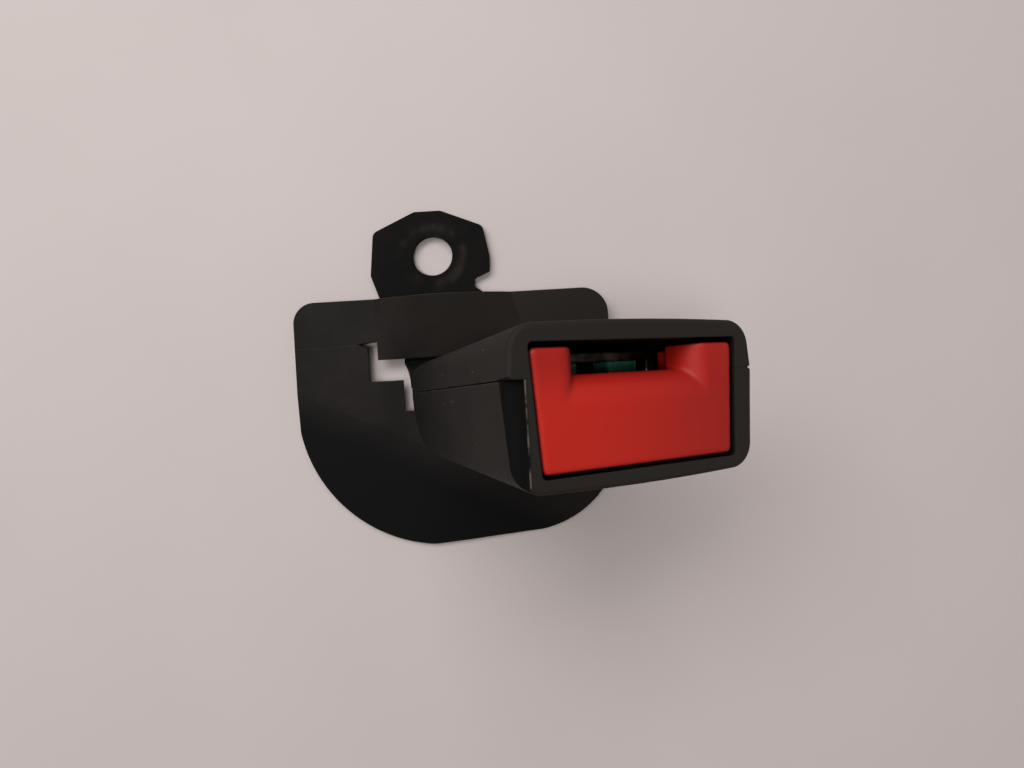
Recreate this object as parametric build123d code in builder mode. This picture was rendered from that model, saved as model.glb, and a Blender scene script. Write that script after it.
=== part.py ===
from build123d import *
import os
from math import cos, pi, radians, sin, sqrt

os.makedirs("parts", exist_ok=True)

# Frame: origin at the anchor hole's centre on the underside of the bracket, +Z up, with
# +Y from the buckle towards the anchor tab. The buckle has its own frame, leaning towards +X:
# x across it, y towards the tongue slot and z along it, from the foot at the strap's bend.

# ---- Driving dimensions, in millimetres and degrees ----

# Anchor bracket
hole_d = 12.5
strap_t = 3.0
strap_w = 24.0
strap_shift = 1.5
bend_reach = 39.6
bend_r = 5.0
lean = 26.8
strap_spring_notch_w = 6.4
strap_spring_notch = 13.0

# The bracket's tab: its crest, shoulders, sides, hooked notch and foot
tab_top = 13.9
crest_left = -5.0
crest_right = 3.2
shoulder_right_x = 16.2
shoulder_right_y = 8.5
shoulder_left_x = -18.2
shoulder_left_y = 8.0
side_right_x = 17.9
side_right_y = -1.0
hook_x = 17.6
hook_y = -5.6
notch_x = 12.6
notch_top = -7.6
notch_bottom = -10.2
side_left_x = -19.6
side_left_y = -5.4
foot_right_x = 15.8
foot_left_x = -17.2
foot_y_tab = -12.6
neck_y = -20.0
tab_corner_r = 2.4
tab_notch_r = 0.9

# Housing, measured along the buckle from the foot, with the room at each side of the frame
housing_start = 23.0
housing_end = 98.3
face_room = 12.5
face_north = 15.0
face_south = -14.5
tail_room = 4.0
tail_north = 12.1
tail_south = -11.5
belly = 0.7
crown = 0.6
draft_north = 0.9
draft_south = 1.4
corner_north_r = 5.0
corner_south_r = 5.0
heel_r = 17.0
tail_north_r = 5.0
tail_side_r = 3.5
rim_edge_r = 0.9
seam_face = 5.2
seam_tail = 3.7
wall_side = 2.0
wall_north = 1.6
wall_south = 2.2
collar_depth = 11.3
mouth_lip = 3.0
cove_out = 0.4
cove_lip = 0.9
groove_tail = 0.35
groove_face = 1.5
groove_run = 5.0

# Button
rim_side = 4.7
button_taper = 1.4
button_north = 10.4
button_south = -11.1
button_gap = 0.5
button_proud = -0.4
button_front_l = 7.9
button_skirt_l = 6.0
button_corner_r = 1.0
button_edge_r = 0.8
button_wall = 2.0
skirt_inset = 0.8
skirt_corner_r = 2.2
slot_w = 24.6
slot_south = 5.6
slot_north = 11.3
press = 5.5
dish_depth = 5.6
dish_side = 4.2
dish_reach = 5.6
stop_out = 0.9
stop_l = 2.4
stop_w = 10.0
stop_y = -2.0

# Tongue channel and frame
strap_y = 6.5
strap_gap = 0.5
frame_t = 1.8
flange_t = 2.0
flange_south = -6.5
frame_back = 0.7
frame_tail = 6.0
frame_bend_r = 2.5
frame_tip_chamfer = 1.0
channel_h = 2.6
rivet_d = 5.0
rivet_inset = 4.0
rivet_back = 7.0
rivet_sink = 1.0
rivet_head_w = 2.0
rivet_head_t = 1.5

# Latch
pivot_y = -1.0
pin_d = 4.0
pin_fit = 0.05
pin_head_w = 1.2
pin_head_t = 1.2
pin_groove_d = 3.0
pin_tail = 0.8
clip_t = 0.7
clip_gap = 0.2
clip_d = 7.0
latch_t = 2.5
latch_y = 1.5
latch_inset = 4.5
latch_side_gap = 0.7
latch_arm = 27.0
latch_lip = 1.0
ear_arm = 22.0
ear_l = 6.0
cheek_t = 2.0
cheek_l = 10.0
tooth_w = 6.6
tooth_back = 8.8
tooth_t = 4.0
tooth_tip = 9.6
tooth_side_gap = 0.3
tooth_window_w = 7.8
tooth_window_back = 1.2
tooth_window_l = 6.8

# Ejector
ejector_t = 2.4
ejector_back = 0.8
ejector_l = 21.0
ejector_lift = 0.1
ejector_travel = 13.0
ejector_bridge_l = 4.0
ejector_bridge_gap = 1.5
ejector_head_l = 3.0
ejector_corner_r = 0.8

# Springs
pocket_wall = 0.85
button_spring_y = -2.0
button_spring_l = 24.0
ejector_spring_d = 3.6
ejector_spring_y = 6.0
ejector_spring_solid = 6.0
latch_spring_d = 6.0
latch_spring_arm = 11.0
wire_d = 0.7
spring_steps = 12
spigot_gap = 0.2
spigot_l = 2.0
bridge_t = 1.5
bridge_l = 9.0
bridge_y = -5.0
bridge_tab_l = 6.0
bridge_side_gap = 0.2
bridge_tab_out = 1.0
bridge_corner_r = 1.0
slot_fit = 0.1

# Cam arms of the button
cam_gap = 1.2
cam_side_gap = 1.1
cam_ahead = 0.9
cam_north = 5.1
cam_tip = 4.2
cam_south = -0.2
cam_slope = 0.78

# Ribs, ledges and alignment posts inside the housing
rib_t = 1.5
rib_x = 7.0
rib_overlap = 1.0
ledge_t = 2.0
ledge_up = 2.5
post_d = 2.5
post_fit = 0.1
boss_d = 4.6
post_rise = 3.5
post_side_gap = 0.2
post_step = 1.6

# Shield
shield_left = -43.8
shield_right = 53.5
shield_top = -13.0
shield_bottom = -90.9
shield_corner_r = 6.5
shield_corner_right_r = 8.0
shield_low_r = 12.0
shield_h = 5.5
shield_t = 2.0
shield_side_end = -53.0
shield_left_arc_r = 43.4
shield_floor_left = -4.0
shield_floor_rise = 0.5
shield_floor_right = 30.0
shield_floor_right_rise = 3.2
shield_right_arc_r = 31.0
shield_right_end = -69.0
crease_y = -41.1
crease_tip_y = -62.2
apron_slope = 0.13
seam_y = -27.2
seam_slit = 0.5
upper_slit = 1.1
lower_slit = -0.7
tip_out = 26.1
window_w = 45.6
window_in = 25.0
window_notch = 3.0
window_top = -31.8
window_step = -38.4
window_bottom = -48.0
hump_w = 42.6
hump_h = 11.0
hump_x = 2.6
hump_end = -31.6
hump_margin = 2.2
hump_end_x = 5.0
hump_sink = 0.1
tab_gap_x = -0.5
tab_gap_w = 35.6
tab_gap_l = 5.5
lip_t = 1.2
lip_w = 7.0
clip_leg_t = 1.5
clip_leg_l = 5.0
clip_leg_y = -23.0
shield_pin_d = 3.0
shield_pin_head_d = 5.0
shield_pin_head_t = 1.0
shield_pin_l = 1.5
shield_pin_x = 35.0
shield_pin_back = 1.8

fit = 0.3

# ---- Worked out from them ----

strap_mid = -bend_reach
foot_x = strap_shift
foot_y = strap_mid - strap_y
buckle = Plane(
    origin=(foot_x, foot_y, strap_t),
    x_dir=(cos(radians(lean)), 0, -sin(radians(lean))),
    z_dir=(sin(radians(lean)), 0, cos(radians(lean))),
)
strap_north = strap_y + strap_t / 2
frame_w = strap_w + 2 * (strap_gap + flange_t)
frame_south = strap_north
frame_north = frame_south + frame_t
frame_in = frame_w / 2 - flange_t
face_w = frame_w + 2 * face_room
tail_w = frame_w + 2 * tail_room
housing_l = housing_end - housing_start
collar_z = housing_end - collar_depth
button_w = face_w - 2 * rim_side
cove_r = rim_side - button_gap - cove_lip + cove_out
button_face_z = housing_end + button_proud
button_front_z = button_face_z - button_front_l
button_back_z = button_front_z - button_skirt_l
skirt_in = frame_w / 2 + button_gap
frame_end = button_front_z - press - frame_back
tooth_start = frame_end - tooth_back
latch_end = tooth_start + tooth_t + latch_lip
latch_w = 2 * (frame_in - latch_inset)
ear_w = 2 * (frame_in - latch_side_gap)
pivot_z = tooth_start - latch_arm
ear_end = pivot_z + ear_arm
ear_start = ear_end - ear_l
cam_start = ear_end + cam_ahead
cam_x = latch_w / 2 + cam_gap
cam_w = frame_in - cam_side_gap - cam_x
latch_spring_z = pivot_z + latch_spring_arm
ejector_end = frame_end - ejector_back
ejector_w = latch_w
ejector_bridge_w = 2 * (frame_in - ejector_bridge_gap)
ejector_bridge_z = ejector_end - ejector_l
strap_end = ejector_bridge_z - ejector_travel - ejector_spring_solid
rivet_z = strap_end - rivet_back
rivet_gap = strap_w - 2 * rivet_inset
frame_start = rivet_z - frame_tail
button_spring_seat = button_front_z - button_spring_l
skirt_room = button_w / 2 - button_taper - skirt_in
button_spring_x = skirt_in + skirt_room / 2
button_spring_d = skirt_room - 2 * (fit + pocket_wall)
tail_post_x = frame_w / 2 + post_side_gap + boss_d / 2
face_post_x = tail_post_x + post_step
hump_end_w = window_w + 2 * hump_margin
rib_start = strap_end - rib_overlap
rib_end = latch_spring_z + rib_overlap


def along(z, at_tail, at_face):
    """A width or height of the housing, which grows evenly from its tail to its face."""
    return at_tail + (at_face - at_tail) * (z - housing_start) / housing_l


def save(piece, name, frame=Plane.XY):
    """Writes one finished piece, carried from its own frame to the part's."""
    solid = piece.part.moved(frame.location)
    solid.label = name
    export_step(solid, f"parts/{name}.step")


def buckle_xz(x, z):
    """A point of the buckle's frame, seen along Y in the part's frame."""
    angle = radians(lean)
    return (
        foot_x + x * cos(angle) + z * sin(angle),
        strap_t - x * sin(angle) + z * cos(angle),
    )


# ---- Anchor bracket: one stamped strap, bent up and leaning in its own plane ----

def make_upright():
    half = strap_w / 2
    face = strap_mid + strap_t / 2
    with BuildPart() as upright:
        with BuildSketch(Plane.YZ):
            with BuildLine():
                low = Line((face + bend_r, 0), (face + bend_r, strap_t))
                inner = RadiusArc(low @ 1, (face, strap_t + bend_r), -bend_r)
                rise = Line(inner @ 1, inner @ 1 + (0, 2 * strap_end))
                top = Line(rise @ 1, rise @ 1 - (strap_t, 0))
                fall = Line(top @ 1, (face - strap_t, strap_t + bend_r))
                RadiusArc(fall @ 1, low @ 0, bend_r + strap_t)
            make_face()
        extrude(amount=3 * strap_end, both=True)
        with BuildSketch(Plane.XZ.offset(2 * bend_reach)):
            with BuildLine():
                Polyline(
                    (strap_shift - half, 0),
                    (strap_shift + half, 0),
                    (strap_shift + half / cos(radians(lean)), strap_t),
                    buckle_xz(half, strap_end),
                    buckle_xz(-half, strap_end),
                    (strap_shift - half, strap_t),
                    close=True,
                )
            make_face()
        extrude(amount=-2 * bend_reach, mode=Mode.INTERSECT)
    return upright.part


def make_strap_cuts():
    """The notch for the ejector's spring and the rivet holes, in the buckle's frame."""
    with BuildPart() as cuts:
        with BuildSketch(Plane.XZ.offset(-strap_north)):
            with Locations((0, strap_end - strap_spring_notch / 2)):
                RectangleRounded(strap_spring_notch_w, strap_spring_notch, strap_spring_notch_w * 0.3)
            with Locations((0, strap_end)):
                Rectangle(strap_spring_notch_w, strap_spring_notch_w)
            with Locations((-rivet_gap / 2, rivet_z), (rivet_gap / 2, rivet_z)):
                Circle(rivet_d / 2)
        extrude(amount=strap_t)
    return cuts.part


def make_anchor_bracket():
    half = strap_w / 2
    bend_start = strap_mid + strap_t / 2 + bend_r
    with BuildPart() as bracket:
        with BuildSketch() as plan:
            with BuildLine():
                Polyline(
                    (crest_left, tab_top),
                    (crest_right, tab_top),
                    (shoulder_right_x, shoulder_right_y),
                    (side_right_x, side_right_y),
                    (hook_x, hook_y),
                    (notch_x, notch_top),
                    (notch_x, notch_bottom),
                    (foot_right_x, foot_y_tab),
                    (strap_shift + half, neck_y),
                    (strap_shift + half, bend_start),
                    (strap_shift - half, bend_start),
                    (strap_shift - half, neck_y),
                    (foot_left_x, foot_y_tab),
                    (side_left_x, side_left_y),
                    (shoulder_left_x, shoulder_left_y),
                    close=True,
                )
            make_face()
            tight = [v for v in plan.vertices() if neck_y - strap_t < v.Y < side_left_y + tab_notch_r / 2]
            fillet(tight, tab_notch_r)
            broad = [v for v in plan.vertices() if v.Y > side_right_y - tab_notch_r]
            fillet(broad, tab_corner_r)
            Circle(hole_d / 2, mode=Mode.SUBTRACT)
        extrude(amount=strap_t)
        add(make_upright())
        add(make_strap_cuts().moved(buckle.location), mode=Mode.SUBTRACT)
    save(bracket, "anchor_bracket")


make_anchor_bracket()


# ---- Steel frame, rivets, pivot pin and the bridge that backs the latch's spring ----

def make_frame():
    length = frame_end - frame_start
    with BuildPart() as frame:
        with BuildSketch(Plane.XY.offset(frame_start)):
            with BuildLine():
                outer = frame_w / 2
                Polyline(
                    (-outer, flange_south),
                    (-outer, frame_north),
                    (outer, frame_north),
                    (outer, flange_south),
                    (outer - flange_t, flange_south),
                    (outer - flange_t, frame_south),
                    (flange_t - outer, frame_south),
                    (flange_t - outer, flange_south),
                    close=True,
                )
            make_face()
        extrude(amount=length)
        bends = frame.edges().filter_by(Axis.Z).group_by(Axis.Y)[-1]
        fillet(bends, frame_bend_r)
        tips = frame.edges().filter_by(Axis.X).group_by(Axis.Y)[0]
        chamfer(tips, frame_tip_chamfer)
        # window for the latch's tooth, and the rivet holes
        with BuildSketch(Plane.XZ.offset(-frame_north)):
            with Locations((0, tooth_start - tooth_window_back + tooth_window_l / 2)):
                RectangleRounded(tooth_window_w, tooth_window_l, frame_tip_chamfer)
        extrude(amount=frame_t, mode=Mode.SUBTRACT)
        with Locations(*rivet_places(frame_north)):
            CounterSinkHole(rivet_d / 2, rivet_d / 2 + rivet_sink, depth=frame_t)
        # pivot holes and the slots that hold the spring bridge
        with Locations(Plane.YZ.offset(frame_w / 2)):
            with Locations((pivot_y, pivot_z)):
                Hole(pin_d / 2 + pin_fit)
        with BuildSketch(Plane.YZ.offset(frame_w / 2)):
            with Locations((bridge_y + bridge_t / 2, latch_spring_z)):
                Rectangle(bridge_t + 2 * slot_fit, bridge_tab_l + 2 * slot_fit)
        extrude(amount=-frame_w, mode=Mode.SUBTRACT)
    save(frame, "buckle_frame", buckle)


def rivet_places(y):
    """Where the rivets stand, on a plane across the strap that faces +Y."""
    face = Plane(origin=(0, y, 0), x_dir=(1, 0, 0), z_dir=(0, 1, 0))
    return [face * Location((side * rivet_gap / 2, -rivet_z, 0)) for side in (-1, 1)]


def make_rivets():
    r = rivet_d / 2
    grip = frame_t + strap_t
    for name, place in zip(("left", "right"), rivet_places(frame_north)):
        with BuildPart() as rivet:
            with BuildSketch(Plane.XZ):
                with BuildLine():
                    Polyline(
                        (0, 0),
                        (r + rivet_sink, 0),
                        (r, -rivet_sink),
                        (r, -grip),
                        (r + rivet_head_w, -grip),
                        (r + rivet_head_w * 0.6, -grip - rivet_head_t),
                        (0, -grip - rivet_head_t),
                        close=True,
                    )
                make_face()
            revolve(axis=Axis.Z)
        with BuildPart() as placed:
            add(rivet.part.moved(place))
        save(placed, f"bracket_rivet_{name}", buckle)


def make_pivot():
    half = frame_w / 2
    with BuildPart() as pin:
        with BuildSketch(Plane.YZ.offset(-half - pin_head_t)):
            with Locations((pivot_y, pivot_z)):
                Circle(pin_d / 2 + pin_head_w)
        extrude(amount=pin_head_t)
        with BuildSketch(Plane.YZ.offset(-half)):
            with Locations((pivot_y, pivot_z)):
                Circle(pin_d / 2)
        extrude(amount=frame_w + clip_gap + clip_t + pin_tail)
        with BuildSketch(Plane.YZ.offset(half + clip_gap)):
            with Locations((pivot_y, pivot_z)):
                Circle(pin_d / 2)
                Circle(pin_groove_d / 2, mode=Mode.SUBTRACT)
        extrude(amount=clip_t, mode=Mode.SUBTRACT)
    save(pin, "latch_pivot_pin", buckle)

    with BuildPart() as clip:
        with BuildSketch(Plane.YZ.offset(half + clip_gap)):
            with Locations((pivot_y, pivot_z)):
                Circle(clip_d / 2)
                Circle(pin_groove_d / 2, mode=Mode.SUBTRACT)
            with Locations((pivot_y - clip_d / 2, pivot_z)):
                Rectangle(clip_d, pin_groove_d * 0.8, mode=Mode.SUBTRACT)
        extrude(amount=clip_t)
    save(clip, "pivot_clip", buckle)


def make_spring_bridge():
    with BuildPart() as bridge:
        with BuildSketch(Plane.XZ.offset(-bridge_y - bridge_t)):
            with Locations((0, latch_spring_z)):
                RectangleRounded(2 * (frame_in - bridge_side_gap), bridge_l, bridge_corner_r)
                Rectangle(frame_w + 2 * bridge_tab_out, bridge_tab_l)
        extrude(amount=bridge_t)
        with BuildSketch(Plane.XZ.offset(-bridge_y - bridge_t)):
            with Locations((0, latch_spring_z)):
                Circle(latch_spring_d / 2 - wire_d - spigot_gap)
        extrude(amount=-spigot_l)
    save(bridge, "spring_bridge", buckle)


make_frame()
make_rivets()
make_pivot()
make_spring_bridge()


# ---- Latch: a plate that swings on the pin, with a tooth for the tongue and two ears ----

def make_latch():
    with BuildPart() as latch:
        with BuildSketch(Plane.XZ.offset(-latch_y - latch_t)):
            with BuildLine():
                cheek_out = ear_w / 2
                Polyline(
                    (-cheek_out, pivot_z),
                    (cheek_out, pivot_z),
                    (cheek_out, pivot_z + cheek_l / 2),
                    (latch_w / 2, pivot_z + cheek_l / 2 + 2),
                    (latch_w / 2, ear_start),
                    (ear_w / 2, ear_start),
                    (ear_w / 2, ear_end),
                    (latch_w / 2, ear_end),
                    (latch_w / 2 - 2, latch_end),
                    (2 - latch_w / 2, latch_end),
                    (-latch_w / 2, ear_end),
                    (-ear_w / 2, ear_end),
                    (-ear_w / 2, ear_start),
                    (-latch_w / 2, ear_start),
                    (-latch_w / 2, pivot_z + cheek_l / 2 + 2),
                    (-cheek_out, pivot_z + cheek_l / 2),
                    close=True,
                )
            make_face()
        extrude(amount=latch_t)
        # cheeks that hang on the pin
        for side in (-1, 1):
            with BuildSketch(Plane.YZ.offset(side * ear_w / 2)):
                with Locations((pivot_y, pivot_z)):
                    Circle(cheek_l / 2)
                with Locations(((pivot_y + latch_y + latch_t) / 2, pivot_z)):
                    Rectangle(latch_y + latch_t - pivot_y, cheek_l)
            extrude(amount=-side * cheek_t)
        with Locations(Plane.YZ.offset(ear_w / 2)):
            with Locations((pivot_y, pivot_z)):
                Hole(pin_d / 2 + pin_fit)
        # tooth, square where it holds the tongue and sloped where the tongue slides in
        with BuildSketch(Plane.YZ.offset(-tooth_w / 2)):
            with BuildLine():
                Polyline(
                    (latch_y + latch_t, tooth_start),
                    (tooth_tip, tooth_start),
                    (tooth_tip, tooth_start + tooth_t * 0.45),
                    (frame_south - channel_h, tooth_start + tooth_t),
                    (latch_y + latch_t, tooth_start + tooth_t),
                    close=True,
                )
            make_face()
        extrude(amount=tooth_w)
    save(latch, "latch_plate", buckle)


make_latch()


# ---- Ejector: a fork that pushes the tongue out and straddles the tooth ----

def make_ejector():
    bridge_mid = ejector_bridge_z + ejector_bridge_l / 2
    with BuildPart() as ejector:
        with BuildSketch(Plane.XZ.offset(-frame_south + ejector_lift + ejector_t)):
            with Locations((0, (ejector_bridge_z + ejector_end) / 2)):
                Rectangle(ejector_w, ejector_end - ejector_bridge_z)
            with Locations((0, bridge_mid)):
                Rectangle(ejector_bridge_w, ejector_bridge_l)
            with Locations((0, ejector_end - ejector_head_l / 2)):
                Rectangle(ejector_bridge_w, ejector_head_l)
            slot_l = ejector_end - ejector_bridge_z - ejector_bridge_l
            with Locations((0, ejector_end - slot_l / 2)):
                Rectangle(tooth_w + 2 * tooth_side_gap, slot_l, mode=Mode.SUBTRACT)
        extrude(amount=-ejector_t)
        corners = ejector.edges().filter_by(Axis.Y).group_by(Axis.Z)[-1]
        fillet(corners, ejector_corner_r)
        with BuildSketch(Plane.XY.offset(ejector_bridge_z)):
            with Locations((0, ejector_spring_y)):
                Circle(ejector_spring_d / 2 - wire_d - spigot_gap)
        extrude(amount=-spigot_l)
    save(ejector, "ejector", buckle)


make_ejector()


# ---- Springs ----

def make_spring(name, frame, diameter, length, turns):
    """A compression spring, a wire bent round its axis, standing on frame's plane."""
    mean = (diameter - wire_d) / 2
    rise = length - wire_d
    steps = turns * spring_steps
    points = [
        (
            mean * cos(2 * pi * i / spring_steps),
            mean * sin(2 * pi * i / spring_steps),
            wire_d / 2 + rise * i / steps,
        )
        for i in range(steps + 1)
    ]
    with BuildPart() as coil:
        with BuildLine() as path:
            Polyline(*points)
        with BuildSketch(Plane(origin=path.line @ 0, z_dir=path.line % 0)):
            RegularPolygon(wire_d / 2, 6)
        sweep(transition=Transition.RIGHT)
    save(coil, name, frame)


def make_springs():
    for name, side in (("button_spring_left", -1), ("button_spring_right", 1)):
        stand = Plane(origin=(side * button_spring_x, button_spring_y, button_spring_seat))
        make_spring(name, tilted(stand), button_spring_d, button_spring_l, 8)
    stand = Plane(origin=(0, ejector_spring_y, strap_end - strap_spring_notch))
    make_spring(
        "ejector_spring", tilted(stand), ejector_spring_d,
        ejector_bridge_z - strap_end + strap_spring_notch, 10,
    )
    stand = Plane(origin=(0, bridge_y + bridge_t, latch_spring_z), x_dir=(1, 0, 0), z_dir=(0, 1, 0))
    make_spring("latch_spring", tilted(stand), latch_spring_d, latch_y - bridge_y - bridge_t, 3)


def tilted(stand):
    """A plane of the buckle's frame, in the part's frame."""
    return Plane(buckle.location * stand.location)


make_springs()


# ---- Release button ----

def button_half(y):
    """Half the button's width at height y; it narrows towards its foot."""
    return button_w / 2 - button_taper * (button_north - y) / (button_north - button_south)


def button_plan(gap, north, r):
    """The button's outline grown by gap, up to the given north edge."""
    south = button_south - gap
    with BuildSketch() as plan:
        with BuildLine():
            Polyline(
                (-button_half(south) - gap, south),
                (button_half(south) + gap, south),
                (button_half(north) + gap, north),
                (-button_half(north) - gap, north),
                close=True,
            )
        make_face()
        fillet(plan.vertices(), r)
    return plan.sketch


def make_button():
    height = button_north - button_south
    skirt_plan = button_plan(-skirt_inset, button_north - skirt_inset, skirt_corner_r)
    with BuildPart() as button:
        extrude(Pos(0, 0, button_front_z) * button_plan(0, button_north, button_corner_r), amount=button_front_l)
        # skirts that pass outside the steel frame
        with BuildSketch(Plane.XY.offset(button_back_z)):
            add(skirt_plan)
            with Locations((0, button_south + skirt_inset + button_wall + height / 2)):
                Rectangle(2 * skirt_in, height, mode=Mode.SUBTRACT)
        extrude(amount=button_skirt_l)
        # dish that leads the tongue into the slot
        add(dish(), mode=Mode.SUBTRACT)
        # core that keeps the wall even behind the lower half
        core_north = slot_south - dish_reach
        with BuildSketch(Plane.XY.offset(button_front_z)):
            with Locations((0, (button_south + button_wall + core_north) / 2)):
                RectangleRounded(
                    button_w - 4 * button_wall, core_north - button_south - button_wall, button_corner_r,
                )
        extrude(amount=button_front_l - button_wall, mode=Mode.SUBTRACT)
        for side in (-1, 1):
            # pocket for the spring
            with BuildSketch(Plane.XY.offset(button_back_z)):
                with Locations((side * button_spring_x, button_spring_y)):
                    Circle(button_spring_d / 2 + fit)
            extrude(amount=button_skirt_l, mode=Mode.SUBTRACT)
            # cam arm that pushes the latch's ear aside
            with BuildSketch(Plane.YZ.offset(side * cam_x)):
                with BuildLine():
                    Polyline(
                        (cam_north, button_front_z),
                        (cam_north, cam_start),
                        (cam_tip, cam_start),
                        (cam_south, cam_start + (cam_tip - cam_south) / cam_slope),
                        (cam_south, button_front_z),
                        close=True,
                    )
                make_face()
            extrude(amount=side * cam_w)
            # stop lug that catches behind the mouth's lip
            out = button_half(stop_y) + stop_out
            with BuildSketch(Plane.XY.offset(housing_end - mouth_lip - stop_l)):
                with Locations((side * (out - button_wall / 2), stop_y)):
                    Rectangle(button_wall, stop_w)
            extrude(amount=stop_l)
        rim = button.faces().sort_by(Axis.Z)[-1].outer_wire().edges()
        rounded = [edge for edge in rim if edge.center().Y < slot_south - dish_reach or on_arm(edge)]
        fillet(rounded, button_edge_r)
    save(button, "release_button", buckle)


def on_arm(edge):
    """Whether an edge of the button's face lies on the outside of its two arms."""
    return abs(edge.center().X) > slot_w / 2 + dish_side


def dish():
    """The hollow that leads the tongue into the slot: walls that roll over from the face."""
    north = button_north + dish_side
    with BuildPart() as hollow:
        for turn in (0, 30, 60, 85):
            out = 1 - cos(radians(turn))
            with BuildSketch(Plane.XY.offset(button_face_z - dish_depth * (1 - sin(radians(turn))))):
                south = slot_south - dish_reach * out
                with Locations((0, (south + north) / 2)):
                    Rectangle(slot_w + 2 * dish_side * out, north - south)
        loft()
        top = hollow.faces().sort_by(Axis.Z)[-1]
        extrude(top, amount=dish_side)
        with BuildSketch(Plane.XY.offset(button_front_z)):
            with Locations((0, (slot_south + north) / 2)):
                Rectangle(slot_w, north - slot_south)
        extrude(amount=button_front_l - dish_depth)
    return hollow.part


make_button()


# ---- Housing: two moulded shells that meet at a seam along the side walls ----

def housing_block(side, north, south, start, end, heel, tail_r, side_r):
    """The housing's form, drawn in by the thickness of each wall."""
    with BuildPart() as block:
        for z in (start, end):
            w = along(z, tail_w, face_w) / 2 - side
            n = along(z, tail_north, face_north) - crown - north
            s = along(z, tail_south - 2.4 * belly, face_south) + crown + south
            seam = along(z, seam_tail, seam_face)
            with BuildSketch(Plane.XY.offset(z)) as section:
                with BuildLine():
                    top = ThreePointArc((draft_north - w, n), (0, n + crown), (w - draft_north, n))
                    right = Polyline(top @ 1, (w, seam), (w - draft_south, s))
                    bottom = ThreePointArc(right @ 1, (0, s - crown), (draft_south - w, s))
                    Polyline(bottom @ 1, (-w, seam), top @ 0)
                make_face()
                fillet(section.vertices().group_by(Axis.Y)[-1], corner_north_r - north)
                fillet(section.vertices().group_by(Axis.Y)[0], corner_south_r - south)
        loft(ruled=True)
        spare = 0.2
        with BuildSketch(Plane.YZ) as profile:
            with BuildLine():
                roof = Polyline(
                    (along(start, tail_south, face_south) + south, start),
                    (along(start, tail_north, face_north) - north + spare, start),
                    (along(end, tail_north, face_north) - north + spare, end),
                    (along(end, tail_south, face_south) + south - spare, end),
                )
                middle = (start + end) / 2
                floor = along(middle, tail_south, face_south) + south - belly
                ThreePointArc(roof @ 1, (floor, middle), roof @ 0)
            make_face()
            fillet(profile.vertices().group_by(Axis.Y)[0].sort_by(Axis.X)[0], heel)
            fillet(profile.vertices().group_by(Axis.Y)[0].sort_by(Axis.X)[-1], tail_r)
        extrude(amount=face_w, both=True, mode=Mode.INTERSECT)
        with BuildSketch(Plane.XZ) as plan:
            with BuildLine():
                w_start = along(start, tail_w, face_w) / 2 - side + spare
                w_end = along(end, tail_w, face_w) / 2 - side + spare
                Polyline((-w_start, start), (w_start, start), (w_end, end), (-w_end, end), close=True)
            make_face()
            fillet(plan.vertices().group_by(Axis.Y)[0], side_r)
        extrude(amount=face_w, both=True, mode=Mode.INTERSECT)
    return block.part


def make_housing():
    """The whole housing with its cavity, mouth and seam groove, before it is parted."""
    cavity = housing_block(
        wall_side, wall_north, wall_south, housing_start + wall_south, collar_z,
        heel_r - wall_south, tail_north_r - wall_north, tail_side_r - wall_side,
    )
    with BuildPart() as housing:
        add(housing_shape)
        fillet(housing.faces().sort_by(Axis.Z)[-1].outer_wire().edges(), rim_edge_r)
        add(cavity, mode=Mode.SUBTRACT)
        mouth = button_plan(button_gap, slot_north, button_corner_r)
        extrude(Pos(0, 0, collar_z) * mouth, amount=2 * collar_depth, mode=Mode.SUBTRACT)
        # grooves behind the mouth's lip, where the button's stop lugs run
        with BuildSketch(Plane.XY.offset(collar_z)):
            with Locations((0, stop_y)):
                Rectangle(2 * (button_half(stop_y) + stop_out + fit), stop_w + 2 * fit)
        extrude(amount=collar_depth - mouth_lip + button_gap / 5, mode=Mode.SUBTRACT)
        add(seam_groove(), mode=Mode.SUBTRACT)
        # cove along the left side of the lower shell's lip
        with BuildSketch(across(seam_face)):
            with Locations((-face_w / 2 - cove_out, housing_end)):
                Circle(cove_r)
        extrude(amount=face_w, mode=Mode.SUBTRACT)
    return housing.part


def seam_groove():
    """A V along both sides of the seam, which opens wide near the mouth."""
    stations = (
        (housing_start - 1, groove_tail),
        (housing_end - groove_run, groove_tail),
        (housing_end + 1, groove_face),
    )
    with BuildPart() as groove:
        for start, stop in zip(stations, stations[1:]):
            for side in (-1, 1):
                for z, depth in (start, stop):
                    half = along(z, tail_w, face_w) / 2
                    mid = along(z, seam_tail, seam_face)
                    with BuildSketch(Plane.XY.offset(z)):
                        with BuildLine():
                            Polyline(
                                (side * (half - depth), mid),
                                (side * (half + depth), mid + 1.2 * depth),
                                (side * (half + depth), mid - 1.2 * depth),
                                close=True,
                            )
                        make_face()
                loft()
    return groove.part


def across(y):
    """A plane across the housing at height y, facing -Y."""
    return Plane.XZ.offset(-y)


def post_places():
    """The four alignment posts, on a plane across the housing that faces -Y."""
    rows = ((tail_post_x, rivet_z), (face_post_x, latch_spring_z - rib_overlap))
    return [(side * x, z) for x, z in rows for side in (-1, 1)]


def upper_fittings():
    """Bosses and ribs under the upper shell's roof, trimmed to lie within its wall."""
    with BuildPart() as fittings:
        with BuildSketch(across(seam_tail)):
            with Locations(*post_places()):
                Circle(boss_d / 2)
        extrude(amount=-face_north)
        with BuildSketch(across(frame_north)):
            with Locations(*[(side * rib_x, (rib_start + rib_end) / 2) for side in (-1, 1)]):
                Rectangle(rib_t, rib_end - rib_start)
        extrude(amount=-face_north)
        add(housing_core, mode=Mode.INTERSECT)
    return fittings.part


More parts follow.
